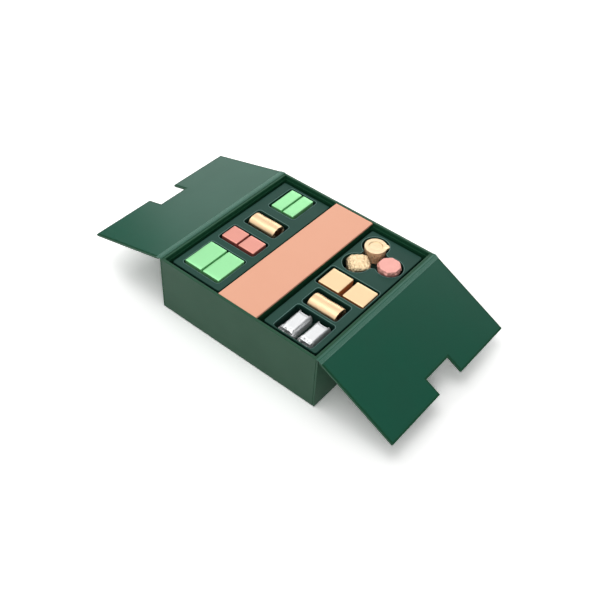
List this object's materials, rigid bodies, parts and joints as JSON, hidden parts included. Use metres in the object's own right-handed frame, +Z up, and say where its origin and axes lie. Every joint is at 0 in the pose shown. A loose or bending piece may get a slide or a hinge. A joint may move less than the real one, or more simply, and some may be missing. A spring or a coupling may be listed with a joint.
{
  "type": "chocolate gift box",
  "caption": "Square green gift box with two notched leaves hinged at its sides, standing open over foil-wrapped sweets in drop-in trays beside a raised peach centre bar.",
  "frame": {"origin": "middle of the box underside, on the surface it stands on", "axes": "+X from the left leaf to the right leaf, +Y to the back wall, +Z up"},
  "size_m": [0.4912, 0.2422, 0.0855],
  "materials": {
    "wall_wrap": "board wrapped in fine-grained green leatherette, soft sheen",
    "side_wrap": "board wrapped in green leatherette",
    "leaf_wrap": "board wrapped in green leatherette, satin",
    "leaf_lining": "green lining paper, satin",
    "hinge_strip": "flexible leatherette with fine pressed lines",
    "liner_card": "dark green card",
    "underside_paper": "dark green paper",
    "base_card": "board",
    "panel_wrap": "board wrapped in matt peach leatherette",
    "bar_wrap": "dark green board",
    "riser_card": "folded dark card",
    "tray_sheet": "thin formed sheet, dark green, satin",
    "magnet": "plated magnet",
    "chocolate": "dark chocolate",
    "green_foil": "mint green foil paper, metallic",
    "rose_foil": "rose foil paper, metallic",
    "gold_foil": "gold foil paper, metallic",
    "silver_foil": "silver foil paper, metallic"
  },
  "bodies": {
    "box": {"underside_sheet": "underside_paper", "base_board": "base_card", "front_wall": "wall_wrap", "back_wall": "wall_wrap", "left_wall": "wall_wrap", "right_wall": "wall_wrap", "left_side_board": "side_wrap", "right_side_board": "side_wrap", "front_liner": "liner_card", "back_liner": "liner_card", "left_liner": "liner_card", "right_liner": "liner_card", "left_bar_wall": "bar_wrap", "right_bar_wall": "bar_wrap", "centre_panel": "panel_wrap", "left_riser": "riser_card", "right_riser": "riser_card", "wall_magnets": "magnet"},
    "left_leaf": {"left_leaf": "leaf_wrap", "left_leaf_lining": "leaf_lining", "left_leaf_magnets": "magnet", "left_hinge_strip": "hinge_strip"},
    "right_leaf": {"right_leaf": "leaf_wrap", "right_leaf_lining": "leaf_lining", "right_leaf_magnets": "magnet", "right_hinge_strip": "hinge_strip"},
    "left_tray": {"left_tray": "tray_sheet"},
    "right_tray": {"right_tray": "tray_sheet"},
    "slim_green_bar_1": {"slim_green_bar_1_wrap": "green_foil", "slim_green_bar_1_chocolate": "chocolate"},
    "slim_green_bar_2": {"slim_green_bar_2_wrap": "green_foil", "slim_green_bar_2_chocolate": "chocolate"},
    "wide_green_bar_1": {"wide_green_bar_1_wrap": "green_foil", "wide_green_bar_1_chocolate": "chocolate"},
    "wide_green_bar_2": {"wide_green_bar_2_wrap": "green_foil", "wide_green_bar_2_chocolate": "chocolate"},
    "rose_square_1": {"rose_square_1_wrap": "rose_foil", "rose_square_1_chocolate": "chocolate"},
    "rose_square_2": {"rose_square_2_wrap": "rose_foil", "rose_square_2_chocolate": "chocolate"},
    "gold_roll_1": {"gold_roll_1_wrap": "gold_foil", "gold_roll_1_chocolate": "chocolate"},
    "rose_round": {"rose_round_wrap": "rose_foil", "rose_round_chocolate": "chocolate"},
    "gold_cup": {"gold_cup_wrap": "gold_foil", "gold_cup_chocolate": "chocolate"},
    "gold_truffle": {"gold_truffle_wrap": "gold_foil", "gold_truffle_chocolate": "chocolate"},
    "gold_square_1": {"gold_square_1_wrap": "gold_foil", "gold_square_1_chocolate": "chocolate"},
    "gold_square_2": {"gold_square_2_wrap": "gold_foil", "gold_square_2_chocolate": "chocolate"},
    "silver_block_1": {"silver_block_1_wrap": "silver_foil", "silver_block_1_chocolate": "chocolate"},
    "silver_block_2": {"silver_block_2_wrap": "silver_foil", "silver_block_2_chocolate": "chocolate"},
    "gold_roll_2": {"gold_roll_2_wrap": "gold_foil", "gold_roll_2_chocolate": "chocolate"}
  },
  "joints": [
    {"name": "left_leaf_hinge", "type": "hinge", "parent": "box", "child": "left_leaf", "pos_m": [-0.128, 0, 0.0855], "axis": [0, -1, 0], "range_deg": [-194.7, 25.3], "deforming": ["left_hinge_strip"]},
    {"name": "right_leaf_hinge", "type": "hinge", "parent": "box", "child": "right_leaf", "pos_m": [0.128, 0, 0.0855], "axis": [0, 1, 0], "range_deg": [-207.4, 12.6], "deforming": ["right_hinge_strip"]},
    {"name": "left_tray_lift", "type": "slide", "parent": "box", "child": "left_tray", "axis": [0, 0, 1], "range_m": [0, 0.06]},
    {"name": "slim_green_bar_1_lift", "type": "slide", "parent": "left_tray", "child": "slim_green_bar_1", "axis": [0, 0, 1], "range_m": [0, 0.04]},
    {"name": "slim_green_bar_2_lift", "type": "slide", "parent": "left_tray", "child": "slim_green_bar_2", "axis": [0, 0, 1], "range_m": [0, 0.04]},
    {"name": "wide_green_bar_1_lift", "type": "slide", "parent": "left_tray", "child": "wide_green_bar_1", "axis": [0, 0, 1], "range_m": [0, 0.04]},
    {"name": "wide_green_bar_2_lift", "type": "slide", "parent": "left_tray", "child": "wide_green_bar_2", "axis": [0, 0, 1], "range_m": [0, 0.04]},
    {"name": "rose_square_1_lift", "type": "slide", "parent": "left_tray", "child": "rose_square_1", "axis": [0, 0, 1], "range_m": [0, 0.04]},
    {"name": "rose_square_2_lift", "type": "slide", "parent": "left_tray", "child": "rose_square_2", "axis": [0, 0, 1], "range_m": [0, 0.04]},
    {"name": "gold_roll_1_lift", "type": "slide", "parent": "left_tray", "child": "gold_roll_1", "axis": [0, 0, 1], "range_m": [0, 0.04]},
    {"name": "right_tray_lift", "type": "slide", "parent": "box", "child": "right_tray", "axis": [0, 0, 1], "range_m": [0, 0.06]},
    {"name": "rose_round_lift", "type": "slide", "parent": "right_tray", "child": "rose_round", "axis": [0, 0, 1], "range_m": [0, 0.04]},
    {"name": "gold_cup_lift", "type": "slide", "parent": "right_tray", "child": "gold_cup", "axis": [0, 0, 1], "range_m": [0, 0.04]},
    {"name": "gold_truffle_lift", "type": "slide", "parent": "right_tray", "child": "gold_truffle", "axis": [0, 0, 1], "range_m": [0, 0.04]},
    {"name": "gold_square_1_lift", "type": "slide", "parent": "right_tray", "child": "gold_square_1", "axis": [0, 0, 1], "range_m": [0, 0.04]},
    {"name": "gold_square_2_lift", "type": "slide", "parent": "right_tray", "child": "gold_square_2", "axis": [0, 0, 1], "range_m": [0, 0.04]},
    {"name": "silver_block_1_lift", "type": "slide", "parent": "right_tray", "child": "silver_block_1", "axis": [0, 0, 1], "range_m": [0, 0.04]},
    {"name": "silver_block_2_lift", "type": "slide", "parent": "right_tray", "child": "silver_block_2", "axis": [0, 0, 1], "range_m": [0, 0.04]},
    {"name": "gold_roll_2_lift", "type": "slide", "parent": "right_tray", "child": "gold_roll_2", "axis": [0, 0, 1], "range_m": [0, 0.04]}
  ]
}
